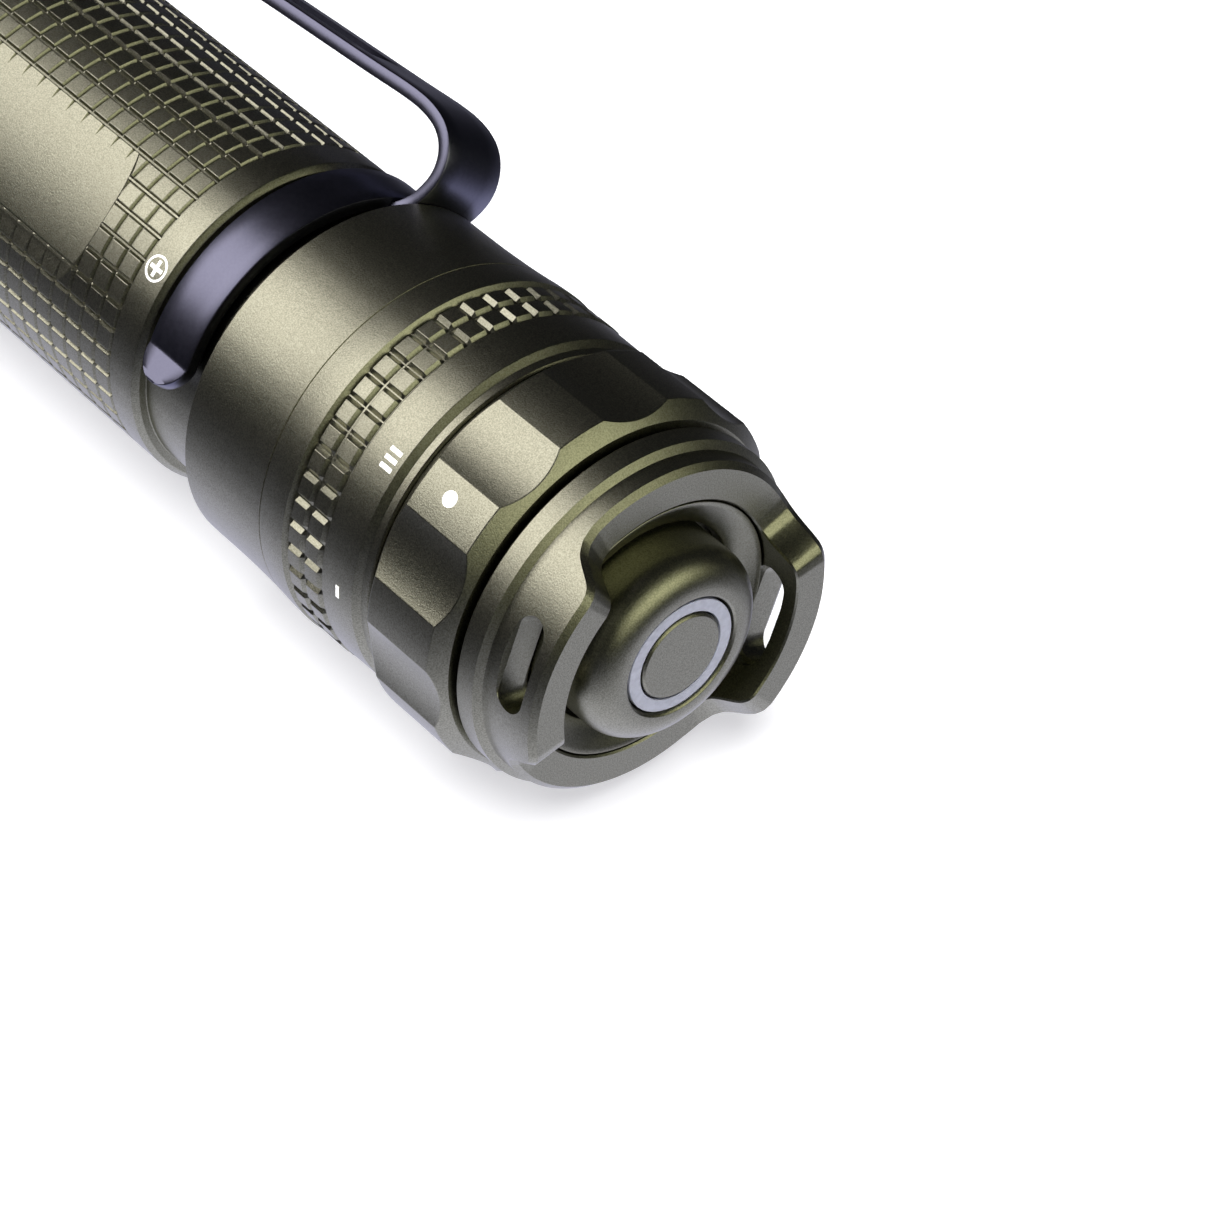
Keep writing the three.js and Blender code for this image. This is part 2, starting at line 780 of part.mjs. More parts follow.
put("tail_o_ring", oRing(11.8, 0.36, -17.4), rubber);
put("pocket_clip", pocketClip(), blackSteel);
put("tail_contact_spring", coil(-13.1, -6.7, 3.0, 5.2, 4.5, 0.35), brass);
put("switch_housing", switchHousing(), olive);
put("contact_retaining_ring", contactRetainingRing(), brass);
put("contact_board", contactBoard(), board);
put("tail_cap", tailCap(), olive);
put("ring_o_ring_front", oRing(11.3, 0.48, 2.5), rubber);
put("ring_o_ring_rear", oRing(11.3, 0.48, 7.9), rubber);
put("selector_ring", selectorRing(), olive);
put("selector_magnet", selectorMagnet(), steel);
put("detent_ball", detentBall(), steel);
put("detent_spring", detentSpring(), steel);
put("switch_board", switchBoard(), board);
put("tact_switch", tactSwitch(), blackPlastic);
put("hall_sensor", hallSensor(), blackPlastic);
put("indicator_led_left", indicatorLed(1), phosphor);
put("indicator_led_right", indicatorLed(-1), phosphor);
put("switch_carrier", switchCarrier(), blackPlastic);
put("switch_boot", switchBoot(), rubber);
put("switch_bezel", switchBezel(), olive);
put("switch_button", switchButton(), olive);
put("button_light_ring", buttonLightRing(), lightGuide);
put("button_plunger", buttonPlunger(), olive);

// The part stands on z = 0 with its box centred on x = y = 0.
const bounds = new THREE.Box3().setFromObject(light);
const centre = bounds.getCenter(new THREE.Vector3());
light.position.set(-centre.x, -centre.y, -bounds.min.z);

export default light;
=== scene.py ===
"""Looks of the tactical flashlight: machined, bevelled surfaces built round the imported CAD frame.

Stations run along the light's axis in millimetres: 0 is the switch housing's rear edge and + is towards the tail.
Radii are millimetres from the axis, and angles are degrees about it, from +Y towards +Z.
"""

import json
import math

import bmesh
import bpy
import numpy as np
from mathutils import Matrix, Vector


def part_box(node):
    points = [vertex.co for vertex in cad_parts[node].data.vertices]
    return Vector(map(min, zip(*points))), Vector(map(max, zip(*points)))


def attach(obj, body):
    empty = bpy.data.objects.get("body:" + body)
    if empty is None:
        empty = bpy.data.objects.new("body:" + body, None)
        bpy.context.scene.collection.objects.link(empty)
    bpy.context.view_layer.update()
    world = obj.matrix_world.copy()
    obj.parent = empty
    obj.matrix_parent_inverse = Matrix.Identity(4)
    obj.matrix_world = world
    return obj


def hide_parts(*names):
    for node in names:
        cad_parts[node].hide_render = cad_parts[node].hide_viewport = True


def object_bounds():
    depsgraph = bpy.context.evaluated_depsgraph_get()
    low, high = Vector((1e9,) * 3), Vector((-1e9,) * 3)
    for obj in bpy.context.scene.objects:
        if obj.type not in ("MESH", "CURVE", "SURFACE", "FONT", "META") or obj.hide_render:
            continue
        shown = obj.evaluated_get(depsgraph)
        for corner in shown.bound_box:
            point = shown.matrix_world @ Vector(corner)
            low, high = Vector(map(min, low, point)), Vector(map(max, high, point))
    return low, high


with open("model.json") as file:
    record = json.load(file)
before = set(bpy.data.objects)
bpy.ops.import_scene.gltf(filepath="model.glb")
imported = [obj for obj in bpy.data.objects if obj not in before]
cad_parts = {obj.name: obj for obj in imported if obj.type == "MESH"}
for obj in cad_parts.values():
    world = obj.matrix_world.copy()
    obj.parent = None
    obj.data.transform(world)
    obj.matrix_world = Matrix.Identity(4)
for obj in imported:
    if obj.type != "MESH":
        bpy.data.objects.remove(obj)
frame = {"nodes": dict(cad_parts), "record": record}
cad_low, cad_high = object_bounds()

MM = 0.001
COLLAR_REAR = 0.75
TUBE_LOW, TUBE_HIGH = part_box("battery_tube")
AXIS_Y = (TUBE_LOW.y + TUBE_HIGH.y) / 2
AXIS_Z = (TUBE_LOW.z + TUBE_HIGH.z) / 2
ORIGIN_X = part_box("switch_housing")[1].x - COLLAR_REAR * MM

TUBE_R = 13.0
NECK_R = 12.0
THREAD_R = 11.9
BORE_R = 10.8
LAND_R = 14.65
LAND_COUNT = 10
LAND_PHASE = 131.4
LAND_HALF = 7.2
SCALLOP_DEPTH = 0.62
PANEL_PHI = 134.5
PANEL_MIDDLE_R = 12.47
PANEL_CURVE_R = 22.5
WING_PHI = 158.0
WING_TOP = 16.85
CAP_FACE = 13.5
CAP_R = 12.8
CAP_CHAMFER = 0.42
CRISP = 18.0
DISH_R = 10.0
CLIP_PHI = 47.5


# ---- mesh helpers ----
def at(s, r, phi):
    """Points of the row frame, in metres, from stations, radii and angles."""
    a = np.radians(phi)
    x = ORIGIN_X + np.asarray(s) * MM
    y = AXIS_Y + np.asarray(r) * np.cos(a) * MM
    z = AXIS_Z + np.asarray(r) * np.sin(a) * MM
    return np.stack(np.broadcast_arrays(x, y, z), axis=-1)


def mesh_object(name, vertices, faces, sharp_deg=32.0):
    """A closed mesh object with its faces pointing out, smooth except across sharp edges."""
    mesh = bpy.data.meshes.new(name)
    mesh.from_pydata(np.asarray(vertices).tolist(), [], faces)
    piece = bpy.data.objects.new(name, mesh)
    bpy.context.scene.collection.objects.link(piece)
    made = bmesh.new()
    made.from_mesh(mesh)
    bmesh.ops.remove_doubles(made, verts=made.verts, dist=1e-8)
    if made.calc_volume(signed=True) < 0:
        bmesh.ops.reverse_faces(made, faces=made.faces)
    made.to_mesh(mesh)
    made.free()
    smooth(piece, sharp_deg)
    return piece


def smooth(piece, sharp_deg=32.0):
    mesh = piece.data
    mesh.polygons.foreach_set("use_smooth", [True] * len(mesh.polygons))
    mesh.set_sharp_from_angle(angle=math.radians(sharp_deg))
    mesh.update()


def ringed(name, rows, angles, closed=True, sharp_deg=32.0):
    """A solid round the axis. Each row is (station, radius), numbers or one value for each angle."""
    count = len(angles)
    points = np.concatenate([at(np.broadcast_to(s, count), np.broadcast_to(r, count), angles) for s, r in rows])
    steps = len(rows) if closed else len(rows) - 1
    i = np.arange(steps)[:, None]
    j = np.arange(count)[None, :]
    following = (i + 1) % len(rows)
    beside = (j + 1) % count
    quads = np.stack([i * count + j, i * count + beside, following * count + beside, following * count + j], -1)
    return mesh_object(name, points, quads.reshape(-1, 4).tolist(), sharp_deg)


def eased(corners, radius=0.07, steps=3, closed=True):
    """A turned profile with its corners rounded off. A corner is (station, radius) or (station, radius, own rounding)."""
    made = []
    count = len(corners)
    for k, corner in enumerate(corners):
        here = np.array(corner[:2], float)
        own = corner[2] if len(corner) > 2 else radius
        if own == 0 or (not closed and k in (0, count - 1)):
            made.append(tuple(here))
            continue
        before = np.array(corners[k - 1][:2], float) - here
        after = np.array(corners[(k + 1) % count][:2], float) - here
        long_before, long_after = np.linalg.norm(before), np.linalg.norm(after)
        reach = min(own, 0.45 * long_before, 0.45 * long_after)
        start = here + before / long_before * reach
        end = here + after / long_after * reach
        for t in np.linspace(0, 1, steps + 1):
            made.append(tuple((1 - t) ** 2 * start + 2 * t * (1 - t) * here + t**2 * end))
    return made


def even_angles(count, phase=0.0):
    return phase + np.arange(count) * 360.0 / count


def turned(name, corners, count=240, radius=0.07, closed=True, steps=3):
    return ringed(name, eased(corners, radius, steps, closed), even_angles(count), closed)


def cut(piece, cutter, operation="DIFFERENCE", sharp_deg=32.0):
    """Applies an exact boolean and deletes the cutter."""
    modifier = piece.modifiers.new("cut", "BOOLEAN")
    modifier.operation = operation
    modifier.solver = "MANIFOLD"
    modifier.object = cutter
    graph = bpy.context.evaluated_depsgraph_get()
    mesh = bpy.data.meshes.new_from_object(piece.evaluated_get(graph))
    piece.modifiers.clear()
    old = piece.data
    piece.data = mesh
    mesh.name = old.name
    bpy.data.meshes.remove(old)
    bpy.data.objects.remove(cutter)
    smooth(piece, sharp_deg)
    return piece


def prism(name, outline, place, depth0, depth1):
    """A solid over an outline of (a, b), between two depths; place(a, b, depth) gives the points."""
    count = len(outline)
    a = np.array([p[0] for p in outline])
    b = np.array([p[1] for p in outline])
    points = np.concatenate([place(a, b, depth0), place(a, b, depth1)])
    faces = [list(range(count)), list(range(2 * count - 1, count - 1, -1))]
    for k in range(count):
        n = (k + 1) % count
        faces.append([k, k + count, n + count, n])
    return mesh_object(name, points, faces)


def radial_place(phi):
    """place() for outlines of (across, station), with depth as the distance from the axis."""
    a = math.radians(phi)
    out = np.array([math.cos(a), math.sin(a)])
    side = np.array([-math.sin(a), math.cos(a)])

    def place(across, station, depth):
        y = AXIS_Y + (out[0] * depth + side[0] * across) * MM
        z = AXIS_Z + (out[1] * depth + side[1] * across) * MM
        return np.stack([ORIGIN_X + station * MM, y, z], axis=-1)

    return place


def blade_place(phi):
    """place() for outlines of (station, out), with depth as the distance across."""
    across_place = radial_place(phi)
    return lambda station, out, depth: across_place(np.full(len(station), float(depth)), station, out)


def groove_lines(pitch, top, bottom, ease):
    """Distances from a V groove's centre at which a knurled surface has an edge, with the pad's middle."""
    half = [bottom / 2, top / 2, top / 2 + ease]
    return [-h for h in reversed(half)] + half + [pitch / 2]


def groove_depth(distance, depth, top, bottom, ease):
    """Depth of a V groove at a distance from its centre, with eased top edges."""
    return np.interp(np.abs(distance), [bottom / 2, top / 2, top / 2 + ease], [depth, 0.3 * ease, 0.0])


def knurl_angles(count, phase, radius, groove):
    pitch = 360.0 / count
    lines = np.array(groove_lines(math.radians(pitch) * radius, *groove))
    offsets = np.degrees(lines / radius)
    return (phase + np.arange(count)[:, None] * pitch + offsets[None, :]).ravel()


def distance_to_groove(angles, count, phase, radius):
    pitch = 360.0 / count
    off = (np.asarray(angles) - phase + pitch / 2) % pitch - pitch / 2
    return np.radians(off) * radius


# ---- materials ----
def new_material(name):
    material = bpy.data.materials.new(name)
    material.use_nodes = True
    nodes = material.node_tree.nodes
    shader = nodes["Principled BSDF"]
    return material, nodes, material.node_tree.links, shader


def grain_height(nodes, links, scale, detail=3.0):
    """A fine procedural grain in the object's own space; scale is in features per metre."""
    where = nodes.new("ShaderNodeTexCoord")
    grain = nodes.new("ShaderNodeTexNoise")
    grain.inputs["Scale"].default_value = scale
    grain.inputs["Detail"].default_value = detail
    grain.inputs["Roughness"].default_value = 0.6
    links.new(where.outputs["Object"], grain.inputs["Vector"])
    return grain


def add_bump(nodes, links, shader, height, strength, distance):
    bump = nodes.new("ShaderNodeBump")
    bump.inputs["Strength"].default_value = strength
    bump.inputs["Distance"].default_value = distance
    links.new(height, bump.inputs["Height"])
    links.new(bump.outputs["Normal"], shader.inputs["Normal"])


def mottled(nodes, links, shader, height, dark, light, low=0.35, high=0.65):
    """Colour that varies between two shades with a height."""
    ramp = nodes.new("ShaderNodeValToRGB")
    ramp.color_ramp.elements[0].position = low
    ramp.color_ramp.elements[0].color = (*dark, 1)
    ramp.color_ramp.elements[1].position = high
    ramp.color_ramp.elements[1].color = (*light, 1)
    links.new(height, ramp.inputs["Fac"])
    links.new(ramp.outputs["Color"], shader.inputs["Base Color"])


def varied_roughness(nodes, links, shader, height, low, high):
    spread = nodes.new("ShaderNodeMapRange")
    spread.inputs["To Min"].default_value = low
    spread.inputs["To Max"].default_value = high
    links.new(height, spread.inputs["Value"])
    links.new(spread.outputs["Result"], shader.inputs["Roughness"])


def anodised(name, dark, light, roughness, grain_scale=9000.0, bump=0.3):
    """Bead-blasted, hard-anodised aluminium: a fine speckle in colour, height and roughness."""
    material, nodes, links, shader = new_material(name)
    shader.inputs["Metallic"].default_value = 1.0
    grain = grain_height(nodes, links, grain_scale)
    mottled(nodes, links, shader, grain.outputs["Fac"], dark, light)
    varied_roughness(nodes, links, shader, grain.outputs["Fac"], roughness - 0.05, roughness + 0.07)
    add_bump(nodes, links, shader, grain.outputs["Fac"], bump, 0.00006)
    return material


def plain(name, dark, light, roughness, metallic=0.0, scale=900.0, bump=0.15, coat=0.0):
    """A moulded, wrapped or plated surface with slight unevenness in colour, height and roughness."""
    material, nodes, links, shader = new_material(name)
    shader.inputs["Metallic"].default_value = metallic
    shader.inputs["Coat Weight"].default_value = coat
    grain = grain_height(nodes, links, scale)
    mottled(nodes, links, shader, grain.outputs["Fac"], dark, light)
    varied_roughness(nodes, links, shader, grain.outputs["Fac"], max(roughness - 0.06, 0.02), roughness + 0.06)
    add_bump(nodes, links, shader, grain.outputs["Fac"], bump, 0.00004)
    return material


def glass_material():
    material, nodes, links, shader = new_material("clear_glass")
    shader.inputs["Base Color"].default_value = (0.94, 0.98, 1.0, 1)
    shader.inputs["Transmission Weight"].default_value = 1.0
    shader.inputs["IOR"].default_value = 1.5
    grain = grain_height(nodes, links, 300.0, 1.0)
    varied_roughness(nodes, links, shader, grain.outputs["Fac"], 0.0, 0.03)
    return material


def light_guide_material():
    """Translucent diffuser of the button, unlit: pale lilac with a soft sheen."""
    material, nodes, links, shader = new_material("light_guide")
    shader.inputs["Subsurface Weight"].default_value = 0.3
    shader.inputs["Subsurface Radius"].default_value = (0.001, 0.001, 0.0012)
    shader.inputs["Subsurface Scale"].default_value = 0.4
    grain = grain_height(nodes, links, 2500.0)
    mottled(nodes, links, shader, grain.outputs["Fac"], (0.28, 0.29, 0.34), (0.34, 0.35, 0.41))
    varied_roughness(nodes, links, shader, grain.outputs["Fac"], 0.28, 0.40)
    return material


OLIVE_DARK = (0.215, 0.214, 0.150)
OLIVE_LIGHT = (0.365, 0.363, 0.265)
materials = {
    "olive_anodised": anodised("olive_anodised", OLIVE_DARK, OLIVE_LIGHT, 0.34),
    "black_steel": plain("black_steel", (0.118, 0.120, 0.157), (0.132, 0.134, 0.173), 0.33, 1.0, 3500.0, 0.05),
    "bezel_metal": anodised("bezel_metal", (0.012, 0.012, 0.014), (0.030, 0.030, 0.034), 0.34),
    "steel": plain("steel", (0.50, 0.51, 0.53), (0.66, 0.67, 0.69), 0.24, 1.0, 2000.0),
    "brass": plain("brass", (0.62, 0.42, 0.16), (0.84, 0.63, 0.30), 0.27, 1.0, 2000.0),
    "copper": plain("copper", (0.60, 0.28, 0.15), (0.78, 0.42, 0.26), 0.30, 1.0, 2000.0),
    "rubber": plain("rubber", (0.010, 0.010, 0.010), (0.022, 0.022, 0.022), 0.62, 0.0, 1500.0, 0.3),
    "circuit_board": plain("circuit_board", (0.010, 0.075, 0.030), (0.020, 0.140, 0.060), 0.35, 0.0, 700.0, 0.3, 0.4),
    "black_plastic": plain("black_plastic", (0.012, 0.012, 0.012), (0.026, 0.026, 0.026), 0.45, 0.0, 1500.0, 0.3),
    "cell_wrap": plain("cell_wrap", (0.012, 0.040, 0.150), (0.020, 0.060, 0.210), 0.30, 0.0, 250.0, 0.2, 0.3),
    "mirror": plain("mirror", (0.86, 0.87, 0.89), (0.95, 0.96, 0.97), 0.07, 1.0, 600.0, 0.03),
    "clear_glass": glass_material(),
    "light_guide": light_guide_material(),
    "phosphor": plain("phosphor", (0.72, 0.52, 0.06), (0.90, 0.72, 0.14), 0.40, 0.0, 1800.0, 0.2),
    "wire_red": plain("wire_red", (0.36, 0.010, 0.008), (0.50, 0.020, 0.014), 0.42, 0.0, 1200.0, 0.2),
    "wire_black": plain("wire_black", (0.010, 0.010, 0.010), (0.020, 0.020, 0.020), 0.42, 0.0, 1200.0, 0.2),
}
# White laser marks with a painted glow: emission 0.6 keeps them bright whatever the lamps, though they give no light.
laser_white_glowing = plain("laser_white_glowing", (0.72, 0.72, 0.70), (0.86, 0.86, 0.84), 0.50, 0.0, 5000.0, 0.2)
laser_glow_shader = laser_white_glowing.node_tree.nodes["Principled BSDF"]
laser_glow_shader.inputs["Emission Color"].default_value = (1, 1, 1, 1)
laser_glow_shader.inputs["Emission Strength"].default_value = 0.6

SLOT_OF = {entry["node"]: entry["material_slot"] for entry in frame["record"]["subparts"]}
BODY_OF = {node: body for body, members in frame["record"]["behaviour"]["bodies"].items() for node in members}


def finished(piece, node):
    """Gives a piece the place, slot and material of the CAD node that it stands for."""
    piece.data.materials.clear()
    piece.data.materials.append(materials[SLOT_OF[node]])
    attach(piece, BODY_OF[node])
    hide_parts(node)
    return piece


# ---- battery tube ----
TUBE_PADS = 43
TUBE_PHASE = 101.9
TUBE_GROOVE = (0.42, 0.14, 0.05)
TUBE_GROOVE_DEPTH = 0.28
ROW_GROOVE = (0.38, 0.08, 0.04)
ROW_GROOVE_DEPTH = 0.22
ROW_PITCH = 1.79
FIRST_ROW = -29.5
KNURL_ROWS = 36


def thread_rows(s0, s1, pitch, root, crest, angles):
    """Rows of a V thread between two stations, fading out at both ends."""
    rows = []
    for s in np.arange(s0, s1, -pitch / 10):
        turn = (s / pitch - np.asarray(angles) / 360.0) % 1.0
        wave = 1 - np.abs(2 * turn - 1)
        fade = min(1.0, (s0 - s) / pitch, (s - s1) / pitch)
        rows.append((s, crest - (crest - root) * wave * fade))
    return rows


def knurl_rows(angles):
    """Square pads in rows along the grip, with plain surface behind the first groove and ahead of the last."""
    around = distance_to_groove(angles, TUBE_PADS, TUBE_PHASE, TUBE_R)
    depth_around = groove_depth(around, TUBE_GROOVE_DEPTH, *TUBE_GROOVE)
    rows = []
    for k in range(KNURL_ROWS):
        centre = FIRST_ROW - k * ROW_PITCH
        for line in groove_lines(ROW_PITCH, *ROW_GROOVE):
            along = groove_depth(line, ROW_GROOVE_DEPTH, *ROW_GROOVE)
            outside = (k == 0 and line < 0) or (k == KNURL_ROWS - 1 and line > 0)
            rows.append((centre - line, TUBE_R - np.maximum(along, 0.0 if outside else depth_around)))
    return rows[:-1]


def battery_tube():
    angles = knurl_angles(TUBE_PADS, TUBE_PHASE, TUBE_R, TUBE_GROOVE)
    rows = eased([(-9.0, BORE_R), (-9.0, 11.4), (-9.15, THREAD_R)], closed=False)
    rows += thread_rows(-9.2, -16.4, 1.0, 11.3, THREAD_R, angles)
    rows += [(-16.45, THREAD_R), (-16.6, 11.2), (-18.2, 11.2), (-18.35, NECK_R - 0.05), (-18.45, NECK_R)]
    rows += eased([(-22.0, NECK_R), (-26.4, NECK_R, 0.15), (-26.4, 12.6), (-26.8, TUBE_R), (-28.5, TUBE_R)],
                  closed=False)
    rows += knurl_rows(angles)
    rows += eased([(-92.25, TUBE_R), (-92.4, TUBE_R), (-92.6, 12.8), (-92.6, THREAD_R), (-93.5, THREAD_R)],
                  closed=False)
    rows += [(-94.6, THREAD_R), (-94.8, 11.2), (-96.2, 11.2), (-96.4, THREAD_R)]
    rows += thread_rows(-96.45, -98.5, 1.0, 11.4, THREAD_R, angles)
    rows += [(-98.55, 11.5), (-98.6, 11.4), (-98.6, BORE_R + 0.1), (-98.5, BORE_R)]
    tube = ringed("battery_tube_body", rows, angles)
    ramp = [(-34.2, 13.5), (-34.5, 13.0), (-34.85, 12.6), (-35.25, 12.3), (-35.8, 12.0), (-36.5, 11.7)]
    front = [(-119.0 - s, r) for s, r in reversed(ramp)]
    opening = prism("panel_cutter", ramp + front, blade_place(PANEL_PHI), -12, 12)
    place = radial_place(PANEL_PHI)
    left = prism("panel_left", circle(PANEL_CURVE_R, 240),
                 lambda a, b, s: place(b, np.full(len(a), float(s)), PANEL_MIDDLE_R - PANEL_CURVE_R + a), -90, -30)
    return finished(cut(tube, cut(opening, left), sharp_deg=14.0), "battery_tube")


# ---- pocket clip ----
CLIP_INNER_R = 12.3
CLIP_OUTER_R = 13.3
CLIP_FRONT = -25.5
CLIP_REAR = -21.25
CLIP_CREASE = 105.8
CLIP_FLARE = 25.3
CLIP_THICK = 1.0
ARM_WIDTH = 6.2


def loft(name, sections, sharp_deg=32.0):
    """A solid through closed sections of equal point count, each an array of row-frame points."""
    count = len(sections[0])
    faces = []
    for k in range(len(sections) - 1):
        for j in range(count):
            n = (j + 1) % count
            faces.append([k * count + j, k * count + n, (k + 1) * count + n, (k + 1) * count + j])
    faces.append(list(range(count - 1, -1, -1)))
    last = (len(sections) - 1) * count
    faces.append([last + j for j in range(count)])
    return mesh_object(name, np.concatenate(sections), faces, sharp_deg)


def rounded_strip(half_width, thick, ease, channel=0.0, channel_half=1.3):
    """Section of the strip as (across, height) points, height 0 on the inner face, with a channel in the outer one."""
    outer = [(-half_width, thick - ease), (-half_width + 0.3 * ease, thick - 0.3 * ease),
             (-half_width + ease, thick)]
    lip = [(-channel_half - 0.25, thick), (-channel_half, thick - channel)]
    middle = [(0.0, thick - channel)]
    top = outer + lip + middle
    top += [(-a, h) for a, h in reversed(outer + lip)]
    bottom = [(half_width, ease), (half_width - 0.3 * ease, 0.3 * ease), (half_width - ease, 0.0), (0.0, 0.0),
              (-half_width + ease, 0.0), (-half_width + 0.3 * ease, 0.3 * ease), (-half_width, ease)]
    return top + bottom


def clip_band():
    """C-shaped band round the neck, with a half-round tab bent outwards at each end."""
    middle = (CLIP_FRONT + CLIP_REAR) / 2
    half = (CLIP_REAR - CLIP_FRONT) / 2
    ease = 0.14
    strip = np.array(rounded_strip(half, CLIP_THICK, ease, 0.0, 0.3 * half))
    across, height = strip[:, 0], strip[:, 1]

    def tab(side):
        """Sections from the crease to the tab's tip, in the tab's own tilted frame."""
        normal_deg = CLIP_PHI + side * (CLIP_CREASE - CLIP_FLARE)
        bisector_deg = CLIP_PHI + side * (CLIP_CREASE - CLIP_FLARE / 2)
        crease_deg = math.radians(CLIP_PHI + side * CLIP_CREASE)
        crease = CLIP_OUTER_R * np.array([math.cos(crease_deg), math.sin(crease_deg)])

        def section(run, normal, strip_across, depth):
            n = np.array([math.cos(math.radians(normal)), math.sin(math.radians(normal))])
            along = side * np.array([-n[1], n[0]])
            spot = crease[None, :] + run * along[None, :] - depth[:, None] * n[None, :]
            x = ORIGIN_X + (middle + strip_across) * MM
            return np.stack([x, AXIS_Y + spot[:, 0] * MM, AXIS_Z + spot[:, 1] * MM], axis=1)

        stretch = 1 / math.cos(math.radians(CLIP_FLARE / 2))
        made = [section(0.0, bisector_deg, across, (CLIP_THICK - height) * stretch)]
        for run in half * np.sin(np.radians(np.concatenate([[3.0], np.linspace(8, 90, 22)]))):
            reach = math.sqrt(max(half**2 - run**2, 0.1**2))
            small = min(ease, 0.45 * reach)
            end = max(0.0, run - (half - ease))
            tuck = ease - math.sqrt(max(ease**2 - end**2, 0.0))
            here = np.array(rounded_strip(reach, CLIP_THICK, small, 0.0, 0.3 * reach))
            depth = tuck + (CLIP_THICK - here[:, 1]) * (1 - 2 * tuck / CLIP_THICK)
            made.append(section(run, normal_deg, here[:, 0], depth))
        return made

    arc = [at(middle + across, CLIP_INNER_R + height, CLIP_PHI + off)
           for off in np.linspace(-CLIP_CREASE + 0.8, CLIP_CREASE - 0.8, 130)]
    return loft("clip_band", tab(-1)[::-1] + arc + tab(1), sharp_deg=22.0)


def arm_path():
    """Inner face of the arm as (station, out) points, smoothed from the bends that shape it."""
    bends = [(-23.6, 12.32), (-22.4, 12.34), (-21.5, 12.62), (-20.75, 13.35), (-20.1, 14.5), (-19.8, 15.8),
             (-20.1, 17.0), (-21.0, 18.0), (-22.6, 18.62), (-25.0, 18.8), (-30.0, 18.55), (-40.0, 18.1),
             (-50.0, 17.6), (-60.0, 17.1), (-68.0, 16.4), (-74.0, 15.4), (-78.5, 14.15), (-81.5, 13.65),
             (-84.5, 14.2), (-88.3, 16.0)]
    points = [np.array(b) for b in bends]
    path = []
    for k in range(len(points) - 1):
        p0 = points[max(k - 1, 0)]
        p1, p2 = points[k], points[k + 1]
        p3 = points[min(k + 2, len(points) - 1)]
        steps = 8 if k < 10 else 10
        for t in np.linspace(0, 1, steps, endpoint=False):
            path.append(0.5 * (2 * p1 + (p2 - p0) * t + (2 * p0 - 5 * p1 + 4 * p2 - p3) * t**2
                               + (3 * p1 - p0 - 3 * p2 + p3) * t**3))
    path.append(points[-1])
    return np.array(path)


def clip_arm():
    """Bent strip from the band's root round the loop and along the grip, with a stamped channel."""
    path = arm_path()
    place = radial_place(CLIP_PHI)
    tangent = np.gradient(path, axis=0)
    tangent /= np.linalg.norm(tangent, axis=1)[:, None]
    normal = np.stack([tangent[:, 1], -tangent[:, 0]], axis=1)
    run = np.concatenate([[0], np.cumsum(np.linalg.norm(np.diff(path, axis=0), axis=1))])
    total = run[-1]
    sections = []
    for k in range(len(path)):
        root = max(0.0, 1 - run[k] / 4.2)
        half = ARM_WIDTH / 2 + 2.2 * root**2.5
        left = total - run[k]
        if left < 3.1:
            half = math.sqrt(max(3.1**2 - (3.1 - left) ** 2, 0.03))
        s = path[k][0]
        channel = 0.34 * float(np.clip(min((-31.5 - s) / 0.8, (s + 73.0) / 0.8) if run[k] > 12 else 0.0, 0, 1))
        thick = CLIP_THICK - 0.06 * min(1.0, root * 4)
        strip = rounded_strip(half, thick, min(0.18, 0.4 * half), channel, min(1.35, 0.4 * half))
        crown = float(np.clip(1 - run[k] / 9.0, 0, 1))
        across = np.array([p[0] for p in strip])
        height = np.array([p[1] for p in strip])
        sag = (12.8 - np.sqrt(np.maximum(12.8**2 - across**2, 0))) * crown
        station = path[k][0] + normal[k][0] * height
        out = path[k][1] + normal[k][1] * height - sag
        points = place(across, station, out)
        sections.append(points)
    return loft("clip_arm", sections)


def pocket_clip():
    clip = clip_band()
    clip = cut(clip, clip_arm(), "UNION")
    clip.name = "pocket_clip_spring"
    return finished(clip, "pocket_clip")


# ---- tail: housing, selector ring, crown, button ----
HOUSING_PADS = 45
HOUSING_PHASE = 94.5
HOUSING_GROOVE = (0.68, 0.10, 0.04)
HOUSING_GROOVE_DEPTH = 0.30
PAD_R = 14.2


